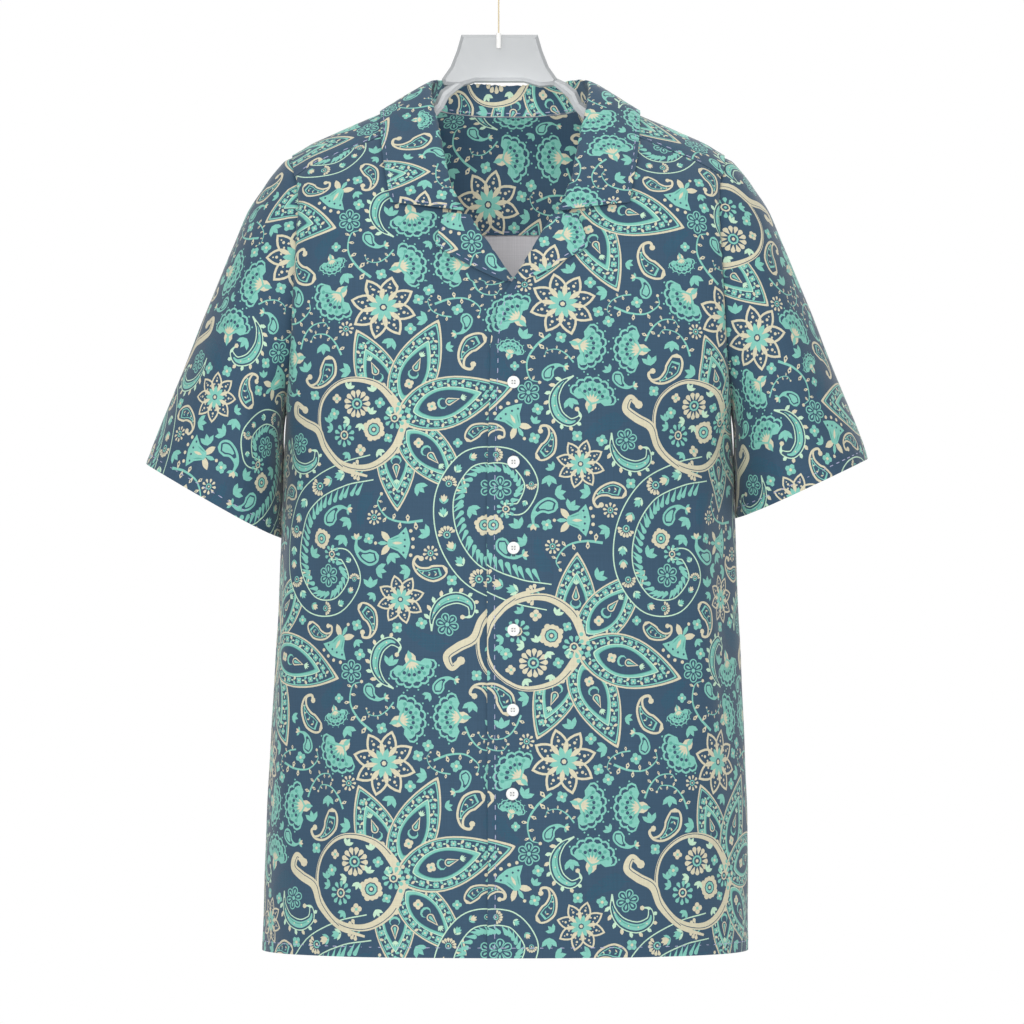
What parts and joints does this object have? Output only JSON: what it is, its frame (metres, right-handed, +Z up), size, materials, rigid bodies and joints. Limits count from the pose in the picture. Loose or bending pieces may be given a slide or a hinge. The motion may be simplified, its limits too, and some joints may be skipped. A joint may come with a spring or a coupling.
{
  "type": "hawaiian shirt on a hanging form",
  "caption": "Short-sleeved open-collar shirt with an all-over leaf and flower print, buttoned down the front and held by a grey form on a cord.",
  "frame": {"origin": "top of the ring that the cord hangs from, where something outside carries it", "axes": "+Z up, the front of the shirt faces -Y, +X is the wearer's left"},
  "size_m": [0.6491, 0.2971, 0.8755],
  "materials": {
    "printed_cloth": "smooth plain-woven printed cloth with a soft sheen",
    "button_white": "glossy white",
    "form_grey": "satin moulded",
    "cord_cream": "twisted string"
  },
  "bodies": {
    "root": {"front_right": "printed_cloth", "front_left": "printed_cloth", "back": "printed_cloth", "yoke": "printed_cloth", "inner_yoke": "printed_cloth", "sleeve_right": "printed_cloth", "sleeve_left": "printed_cloth", "collar": "printed_cloth", "lapel_right": "printed_cloth", "lapel_left": "printed_cloth", "button_1": "button_white", "button_2": "button_white", "button_3": "button_white", "button_4": "button_white", "button_5": "button_white", "button_6": "button_white", "hanger": "form_grey", "hanger_tube": "button_white", "cord": "cord_cream", "knot": "cord_cream", "hang_ring": "form_grey"}
  },
  "joints": []
}
